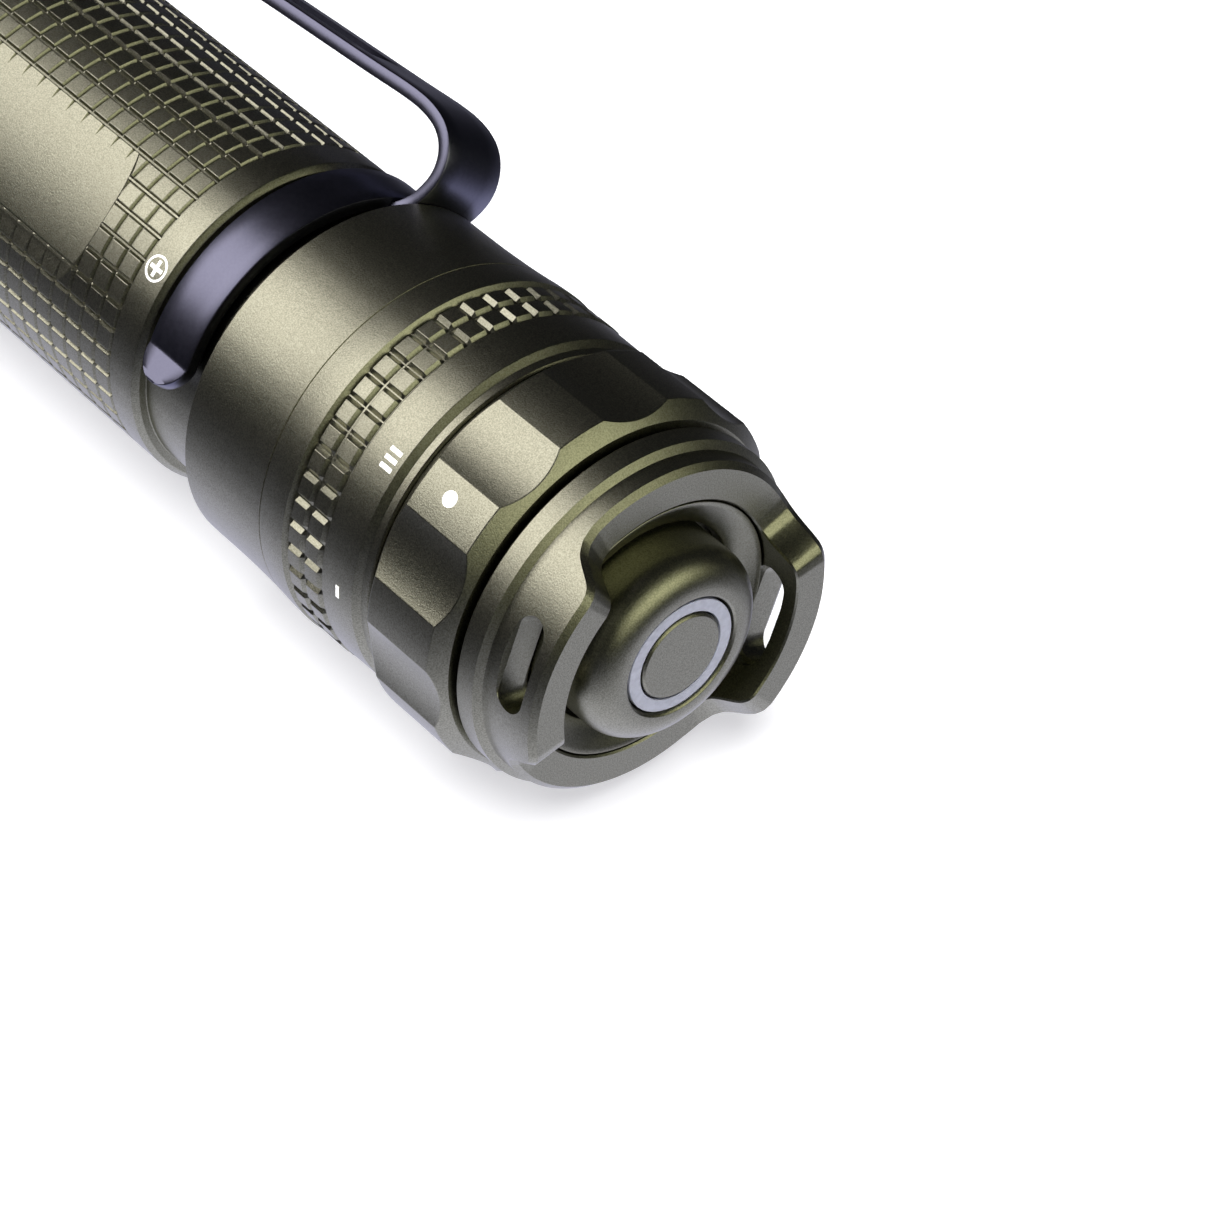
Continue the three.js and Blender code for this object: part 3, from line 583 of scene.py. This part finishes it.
def switch_housing():
    angles = knurl_angles(HOUSING_PADS, HOUSING_PHASE, PAD_R, HOUSING_GROOVE)
    around = distance_to_groove(angles, HOUSING_PADS, HOUSING_PHASE, PAD_R)
    floor = PAD_R - HOUSING_GROOVE_DEPTH
    ease = 0.04
    pads = PAD_R - groove_depth(around, HOUSING_GROOVE_DEPTH, *HOUSING_GROOVE)
    rows = eased([(-17.0, 12.35), (-19.4, 12.35), (-19.4, 13.74, 0), (-19.24, 13.88, 0), (-19.1, 13.885, 0), (-15.0, 13.9, 1.2),
                  (-12.0, 14.02, 0.8), (-10.56, 14.12, 0), (-10.52, 14.04, 0), (-10.48, 14.04, 0),
                  (-10.44, 14.13, 0), (-9.0, 14.26, 0.5), (-7.8, 14.3)], closed=False)
    rows += eased([(-7.78, 14.3), (-7.5, floor - 0.05), (-7.42, floor - 0.05)], 0.04, closed=False)
    for rear, front in ((-7.18, -6.04), (-5.35, -4.1)):
        rows.append((rear - 0.3 + 0.02, floor))
        rows.append((rear - ease, pads - np.where(pads > PAD_R - 0.02, 0.012, 0.0)))
        rows.append((rear + ease, pads))
        rows.append(((rear + front) / 2, pads))
        rows.append((front - ease, pads))
        rows.append((front + ease, pads - np.where(pads > PAD_R - 0.02, 0.012, 0.0)))
        rows.append((front + 0.3 - 0.02, floor))
    rows += eased([(-3.78, floor), (-3.6, 14.1), (-0.45, 14.05), (0.0, 13.6), (0.6, 13.6), (COLLAR_REAR, 13.4),
                   (COLLAR_REAR, 11.9), (-2.5, 11.9), (-2.5, 9.9), (-4.7, 9.9), (-4.7, 11.1), (-8.2, 11.1),
                   (-8.4, 12.35), (-10.0, 12.35)], 0.05, closed=False)
    return finished(ringed("switch_housing_body", rows, angles, sharp_deg=14.0), "switch_housing")


def scallop_radius(angles, land=LAND_R, depth=SCALLOP_DEPTH):
    """Radius of a section with flat-topped lands and concave scallops between them."""
    pitch = 360.0 / LAND_COUNT
    off = np.abs((np.asarray(angles) - LAND_PHASE) % pitch - pitch / 2)
    reach = math.radians(pitch / 2 - LAND_HALF)
    floor = land - depth
    cutter = (floor**2 + land**2 - 2 * floor * land * math.cos(reach)) / (2 * (land * math.cos(reach) - floor))
    centre = floor + cutter
    a = np.radians(off)
    inside = np.maximum(cutter**2 - (centre * np.sin(a)) ** 2, 0)
    scallop = centre * np.cos(a) - np.sqrt(inside)
    return np.where(off < pitch / 2 - LAND_HALF, np.minimum(scallop, land), land)


def scallop_angles():
    pitch = 360.0 / LAND_COUNT
    lines = [-6.9, -3.5, 0.0, 3.5, 6.9, 7.15, 7.25, 7.6]
    lines += list(np.linspace(8.2, 27.8, 16))
    lines += [28.4, 28.75, 28.85]
    return (LAND_PHASE + np.arange(LAND_COUNT)[:, None] * pitch + np.array(lines)[None, :]).ravel()


def selector_ring():
    angles = scallop_angles()
    top = scallop_radius(angles)
    slope = 1.05
    front = 1.0 + (top - 13.6) / slope
    rear = 9.2 - (top - 13.6) / slope
    rows = [(1.0, 12.15), (1.0, 13.2), (0.86, 13.22), (0.86, 13.44), (1.0, 13.52), (1.03, 13.58), (front - 0.05, top - 0.03), (front + 0.04, top),
            (3.0, top), (5.0, top), (7.0, top), (rear - 0.04, top), (rear + 0.05, top - 0.03),
            (9.15, 13.64), (9.2, 13.56), (9.2, 12.15), (9.1, 12.1), (5.0, 12.1), (1.1, 12.1)]
    ring = ringed("selector_ring_body", rows, angles, sharp_deg=18.0)
    return finished(ring, "selector_ring")


def crown_height(angle):
    """Station of the crown's rear surface at an angle from a wing's middle: flat tops, S-shaped flanks, low between."""
    angles = [0.0, 27.9, 31.05, 33.5, 35.2, 37.4, 39.4, 42.4, 46.9, 54.1, 90.0]
    stations = [WING_TOP, WING_TOP, 16.7, 16.35, 15.83, 14.95, 14.3, 13.85, 13.58, CAP_FACE, CAP_FACE]
    fine = np.linspace(0, 90, 721)
    height = np.interp(fine, angles, stations)
    for _ in range(24):
        height[1:-1] = (height[:-2] + 2 * height[1:-1] + height[2:]) / 4
    folded = np.abs((np.asarray(angle) + 90.0) % 180.0 - 90.0)
    return np.interp(folded, fine, height)


def chamfer_foot(angle, radius, width):
    """Where a chamfer of even width along the crown's edge meets the cylinder of a radius."""
    lowest = crown_height(angle) - width
    for step in np.linspace(-1, 1, 41):
        reach = math.sqrt(1 - step * step) * width
        lowest = np.minimum(lowest, crown_height(angle + math.degrees(step * width / radius)) - reach)
    return lowest


def tail_cap():
    angles = even_angles(900, WING_PHI)
    height = crown_height(angles - WING_PHI)
    foot = chamfer_foot(angles - WING_PHI, CAP_R, CAP_CHAMFER)
    inner_foot = chamfer_foot(angles - WING_PHI, DISH_R, 0.12)
    rows = eased([(8.7, 9.5), (-2.2, 9.5), (-2.2, 11.6), (1.9, 11.6), (1.9, 10.55), (3.1, 10.55), (3.1, 11.6),
                  (7.3, 11.6), (7.3, 10.55), (8.5, 10.55), (8.5, 11.6), (9.6, 11.6), (9.6, 13.1), (9.9, 13.4, 0),
                  (11.45, 13.4, 0), (11.8, 12.84, 0), (11.95, CAP_R)], 0.06, closed=False)
    rows += [(12.3, CAP_R), (12.7, CAP_R), (foot, CAP_R), (height, CAP_R - CAP_CHAMFER)]
    rows += [(height, r) for r in (12.0, 11.5, 11.0, 10.5, 10.12)]
    rows += [(inner_foot, DISH_R), (12.5, DISH_R), (8.7, DISH_R)]
    cap = ringed("tail_cap_body", rows, angles, sharp_deg=CRISP)
    for phi in (WING_PHI, WING_PHI + 180):
        cap = cut(cap, slot_cutter(phi), sharp_deg=CRISP)
    return finished(cap, "tail_cap")


def slot_cutter(phi):
    """Rounded slot through a wing, its outer mouth eased."""
    place = radial_place(phi)
    half_length, half_width, centre = 3.6, 1.15, 14.25
    levels = [(8.5, 0.4), (10.0, 0.4), (10.2, 0.0), (12.4, 0.0), (12.8, 0.44), (15.0, 0.44)]
    turns = np.linspace(-90, 90, 25)
    sections = []
    for depth, grow in levels:
        flat = half_length - half_width
        r = half_width + grow * 0.5
        across = np.concatenate([flat + r * np.cos(np.radians(turns)), -flat - r * np.cos(np.radians(turns))])
        station = np.concatenate([centre + r * np.sin(np.radians(turns)), centre - r * np.sin(np.radians(turns))])
        sections.append(place(across, station, depth))
    return loft("slot_cutter", sections)


def switch_bezel():
    bezel = turned("switch_bezel_dish", [
        (11.2, 7.75), (12.35, 7.75), (12.62, 8.1, 0.3), (12.95, 8.7, 0.5), (13.35, 9.55, 0.4), (13.4, 9.86),
        (9.0, 9.86), (9.0, 8.7), (11.2, 8.7)])
    return finished(bezel, "switch_bezel")


def switch_button():
    dome = [(14.45 + 2.3 * math.sin(a), 5.1 + 2.3 * math.cos(a), 0) for a in np.linspace(0, math.pi / 2, 24)]
    corners = [(10.0, 4.65), (10.0, 8.35), (10.9, 8.35), (10.9, 7.4)] + dome
    corners += [(16.76, 4.74, 0.03), (16.62, 4.6, 0.03), (16.3, 4.55)]
    return finished(turned("switch_button_cap", corners, count=256), "switch_button")


def button_light_ring():
    ring = turned("button_light_ring_guide", [(12.6, 3.45), (12.6, 4.4), (16.62, 4.4), (16.62, 3.45)], count=128)
    return finished(ring, "button_light_ring")


def button_plunger():
    lines = [(16.75 - 0.008 * (k % 2), 3.1 - 0.1 * k, 0) for k in range(1, 30)]
    profile = [(1.6, 0.0), (1.6, 1.5), (13.2, 1.5), (13.2, 3.3), (16.6, 3.3, 0.02), (16.75, 3.15, 0.02)]
    disc = turned("button_centre_disc", profile + lines + [(16.75, 0.0)], count=128, closed=False)
    return finished(disc, "button_plunger")


# ---- head: body, bezel, lens, reflector, LED ----
def head_body():
    angles = scallop_angles()
    top = scallop_radius(angles)
    rows = eased([(-93.0, 12.35), (-93.0, 13.5), (-93.8, 14.0), (-100.9, 14.0), (-101.0, 12.9), (-102.2, 12.9),
                  (-102.3, 14.0), (-103.7, 14.0), (-103.8, 12.9), (-105.0, 12.9), (-105.1, 14.0), (-106.5, 14.0),
                  (-106.6, 12.9), (-107.8, 12.9), (-107.9, 14.0), (-108.1, 14.0), (-109.0, LAND_R),
                  (-109.6, LAND_R)], 0.12, closed=False)
    for share in (0.0, 0.25, 0.5, 0.75, 1.0):
        swell = 0.5 - 0.5 * math.cos(math.pi * share)
        rows.append((-109.9 - 1.4 * share, LAND_R - (LAND_R - top) * swell))
    rows += [(s, top) for s in (-113.0, -115.5, -118.0)]
    for share in (1.0, 0.75, 0.5, 0.25, 0.0):
        swell = 0.5 - 0.5 * math.cos(math.pi * share)
        rows.append((-120.8 + 1.4 * share, LAND_R - (LAND_R - top) * swell))
    rows += eased([(-121.2, LAND_R), (-121.5, LAND_R), (-121.9, 14.05), (-123.3, 14.05), (-123.7, LAND_R),
                   (-134.5, LAND_R), (-135.0, 14.2), (-135.0, 13.6), (-129.0, 13.6), (-129.0, 12.6),
                   (-126.0, 12.6), (-108.2, 9.6), (-105.2, 9.6), (-105.2, 11.9), (-100.4, 11.9), (-100.4, 12.35)],
                  0.1, closed=False)
    head = ringed("head_shell", rows, angles, sharp_deg=24.0)
    shelf = turned("led_shelf", [(-108.2, 0.0), (-108.2, 9.9), (-105.2, 9.9), (-105.2, 0.0)], 64, 0.0, closed=False)
    head = cut(head, shelf, "UNION", 24.0)
    for across in (4.5, -4.5):
        hole = prism("wire_hole", [(across + 0.9 * math.cos(a), 0.9 * math.sin(a))
                                   for a in np.linspace(0, 2 * math.pi, 24, endpoint=False)],
                     axial_place, -110.0, -104.0)
        head = cut(head, hole, sharp_deg=24.0)
    return finished(head, "head_body")


def axial_place(y, z, station):
    """place() for outlines across the axis, with depth as the station."""
    return np.stack([np.full(len(y), ORIGIN_X + station * MM), AXIS_Y + y * MM, AXIS_Z + z * MM], axis=-1)


def strike_bezel():
    angles = even_angles(480)
    around = np.abs((angles - 18.0 + 30.0) % 60.0 - 30.0)
    notch = 0.9 * np.clip(1 - (around / 11.5) ** 2, 0, 1)
    front = -137.4
    rows = eased([(-131.2, 12.8), (-131.2, 13.3), (-135.3, 13.3), (-135.3, 14.2), (-136.0, 14.2)], 0.08, closed=False)
    rows += [(front + 0.66 + 0.5 * notch, 14.2), (front + 0.56 + 0.7 * notch, 14.14), (front + 0.06 + notch, 13.56),
             (front + notch, 13.4), (front + notch, 12.75), (front + notch, 12.1), (front + 0.06 + notch, 12.0),
             (front + 0.5 + 0.8 * notch, 11.45), (front + 0.6 + 0.8 * notch, 11.4), (-134.6, 11.4), (-134.4, 11.5),
             (-134.4, 12.7), (-134.2, 12.8)]
    return finished(ringed("strike_bezel_ring", rows, angles), "strike_bezel")


def lens():
    glass = turned("lens_glass", [(-130.6, 0.0), (-130.6, 12.4), (-132.6, 12.4), (-132.6, 0.0)], 180, 0.25,
                   closed=False)
    return finished(glass, "lens")


def reflector():
    focal, apex = 1.7, -110.0
    inner = [(apex - r * r / (4 * focal), r, 0) for r in np.linspace(3.3, 11.4, 24)]
    outer = [(inner[-1][0], 12.3), (-128.4, 12.3), (-128.0, 11.9), (-124.0, 10.6, 0.5), (-118.0, 8.5, 0.8),
             (-113.6, 6.2, 0.6), (inner[0][0], 4.6)]
    return finished(turned("reflector_cup", inner + outer, 180, 0.1), "reflector")


def build_pieces():
    battery_tube()
    pocket_clip()
    switch_housing()
    selector_ring()
    tail_cap()
    switch_bezel()
    switch_button()
    button_light_ring()
    button_plunger()
    head_body()
    strike_bezel()
    lens()
    reflector()


# ---- laser marks ----
MARK_DEPTH = 0.02


def mark(name, outline, radius, station, phi, body, lift=MARK_DEPTH):
    """A thin white mark on a round surface; the outline is (around, along) in mm, counter to no hole."""
    count = len(outline)
    around = np.array([p[0] for p in outline])
    along = np.array([p[1] for p in outline])
    angle = phi + np.degrees(around / radius)
    low = at(station + along, np.full(count, radius - lift), angle)
    high = at(station + along, np.full(count, radius + lift), angle)
    faces = [list(range(count)), list(range(2 * count - 1, count - 1, -1))]
    for k in range(count):
        n = (k + 1) % count
        faces.append([k, k + count, n + count, n])
    piece = mesh_object(name, np.concatenate([low, high]), faces)
    piece.data.materials.append(laser_white_glowing)
    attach(piece, body)
    return piece


def ring_mark(name, outer, inner, radius, station, phi, body, count=48):
    """A thin white circle line on a round surface."""
    turns = np.linspace(0, 2 * math.pi, count, endpoint=False)
    loops = []
    for size, lift in ((outer, -MARK_DEPTH), (outer, MARK_DEPTH), (inner, MARK_DEPTH), (inner, -MARK_DEPTH)):
        angle = phi + np.degrees(size * np.cos(turns) / radius)
        loops.append(at(station + size * np.sin(turns), np.full(count, radius + lift), angle))
    faces = []
    for k in range(4):
        for j in range(count):
            n = (j + 1) % count
            k2 = (k + 1) % 4
            faces.append([k * count + j, k * count + n, k2 * count + n, k2 * count + j])
    piece = mesh_object(name, np.concatenate(loops), faces)
    piece.data.materials.append(laser_white_glowing)
    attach(piece, body)
    return piece


def bar(half_around, half_along):
    return [(-half_around, -half_along), (half_around, -half_along), (half_around, half_along),
            (-half_around, half_along)]


def circle(radius, count=32):
    return [(radius * math.cos(a), radius * math.sin(a)) for a in np.linspace(0, 2 * math.pi, count, endpoint=False)]


def build_marks():
    selector_body = BODY_OF["selector_ring"]
    tail_body = BODY_OF["switch_housing"]
    grip_body = BODY_OF["battery_tube"]
    mark("index_dot", circle(0.58), LAND_R, 4.7, 130.4, selector_body)
    mark("position_dash", bar(0.5, 0.16), 14.08, -1.95, 176.7, tail_body)
    for k in (-1, 0, 1):
        mark(f"position_bar_{k + 2}", bar(0.16, 0.55), 14.075, -1.45, 132.65 + 2.6 * k, tail_body)
    plus = [(-0.14, -0.62), (0.14, -0.62), (0.14, -0.14), (0.62, -0.14), (0.62, 0.14), (0.14, 0.14), (0.14, 0.62),
            (-0.14, 0.62), (-0.14, 0.14), (-0.62, 0.14), (-0.62, -0.14), (-0.14, -0.14)]
    mark("polarity_plus", plus, TUBE_R, -28.1, 134.8, grip_body)
    ring_mark("polarity_circle", 0.98, 0.82, TUBE_R, -28.1, 134.8, grip_body)


# ---- camera, light and floor ----
def build_camera():
    camera = bpy.data.objects.new("camera", bpy.data.cameras.new("camera"))
    bpy.context.scene.collection.objects.link(camera)
    camera.location = (0.23871, -0.14194, 0.22719)
    direction = Vector((-0.55059, 0.46070, -0.69613))
    camera.rotation_mode = "QUATERNION"
    camera.rotation_quaternion = direction.to_track_quat("-Z", "Y")
    camera.data.sensor_width = 36.0
    camera.data.lens = 136.18
    camera.data.clip_start = 0.01
    camera.data.clip_end = 10.0
    bpy.context.scene.camera = camera


def soft_light(name, direction, distance, width, height, radiance, colour):
    """An oval soft light at a distance from the tail, aimed at it."""
    data = bpy.data.lights.new(name, "AREA")
    data.shape = "ELLIPSE"
    data.size = width
    data.size_y = height
    data.energy = radiance * math.pi * (math.pi * width * height / 4)
    data.color = colour
    light = bpy.data.objects.new(name, data)
    bpy.context.scene.collection.objects.link(light)
    aim = Vector((0.05, 0.0, 0.015))
    light.location = aim + Vector(direction).normalized() * distance
    light.rotation_mode = "QUATERNION"
    light.rotation_quaternion = (aim - light.location).to_track_quat("-Z", "Y")
    return light


def build_floor():
    edge = 30.0
    mesh = bpy.data.meshes.new("floor")
    mesh.from_pydata([(-edge, -edge, 0), (edge, -edge, 0), (edge, edge, 0), (-edge, edge, 0)], [], [[0, 1, 2, 3]])
    floor = bpy.data.objects.new("floor", mesh)
    bpy.context.scene.collection.objects.link(floor)
    floor.location.z = cad_low.z
    floor.visible_glossy = False
    material, nodes, links, shader = new_material("floor_white")
    shader.inputs["Base Color"].default_value = (0.5, 0.5, 0.5, 1)
    shader.inputs["Roughness"].default_value = 0.7
    shader.inputs["Emission Color"].default_value = (0.965, 0.96, 1.0, 1)
    shader.inputs["Emission Strength"].default_value = 0.62
    mesh.materials.append(material)


def build_world():
    """White behind the part; in its reflections, a lit table below, a dark band at the horizon and a dark room."""
    world = bpy.data.worlds.new("studio")
    world.use_nodes = True
    nodes, links = world.node_tree.nodes, world.node_tree.links
    where = nodes.new("ShaderNodeTexCoord")
    parts = nodes.new("ShaderNodeSeparateXYZ")
    height = nodes.new("ShaderNodeMapRange")
    height.inputs["From Min"].default_value = -1.0
    height.inputs["From Max"].default_value = 1.0
    ramp_node = nodes.new("ShaderNodeValToRGB")
    ramp = ramp_node.color_ramp
    stops = [(-1.0, 1.20), (-0.74, 1.02), (-0.61, 0.60), (-0.47, 0.22), (-0.30, 0.06), (-0.10, 0.02), (0.3, 0.015)]
    tint = (0.95, 0.95, 1.25)
    for k, (z, value) in enumerate(stops):
        element = ramp.elements[0] if k == 0 else ramp.elements.new((z + 1) / 2)
        element.position = (z + 1) / 2
        element.color = (*(value * c for c in tint), 1)
    ramp.elements.remove(ramp.elements[-1])
    links.new(where.outputs["Generated"], parts.inputs["Vector"])
    links.new(parts.outputs["Z"], height.inputs["Value"])
    links.new(height.outputs["Result"], ramp_node.inputs["Fac"])
    seen = nodes.new("ShaderNodeLightPath")
    backdrop = nodes.new("ShaderNodeBackground")
    backdrop.inputs["Strength"].default_value = 1.0
    mix = nodes.new("ShaderNodeMixShader")
    links.new(ramp_node.outputs["Color"], nodes["Background"].inputs["Color"])
    backdrop.inputs["Color"].default_value = (1, 1, 1, 1)
    links.new(seen.outputs["Is Camera Ray"], mix.inputs["Fac"])
    links.new(nodes["Background"].outputs["Background"], mix.inputs[1])
    links.new(backdrop.outputs["Background"], mix.inputs[2])
    links.new(mix.outputs["Shader"], nodes["World Output"].inputs["Surface"])
    bpy.context.scene.world = world


def build_studio():
    build_floor()
    build_world()
    key = soft_light("key", (-0.55, -0.42, 0.72), 0.7, 0.60, 0.60, 3.2, (1.0, 0.955, 1.0))
    rim = soft_light("rim", (0.87, 0.15, 0.40), 0.7, 1.05, 0.42, 1.65, (1.0, 1.0, 0.75))
    for light in (key, rim):
        light.visible_diffuse = False
    top = soft_light("top", (0.15, -0.15, 0.97), 0.7, 0.8, 0.8, 10.0, (1.0, 1.0, 1.0))
    top.visible_glossy = False


CARRIED = [name for name in frame["nodes"]]


def dress_carried_nodes():
    """Every CAD node, shown or not, gets its slot's material."""
    for name in CARRIED:
        mesh = frame["nodes"][name].data
        mesh.materials.clear()
        mesh.materials.append(materials[SLOT_OF[name]])
        smooth(frame["nodes"][name], 40.0)


build_camera()
dress_carried_nodes()
build_pieces()
build_marks()
build_studio()
bpy.context.scene.view_settings.view_transform = "Standard"
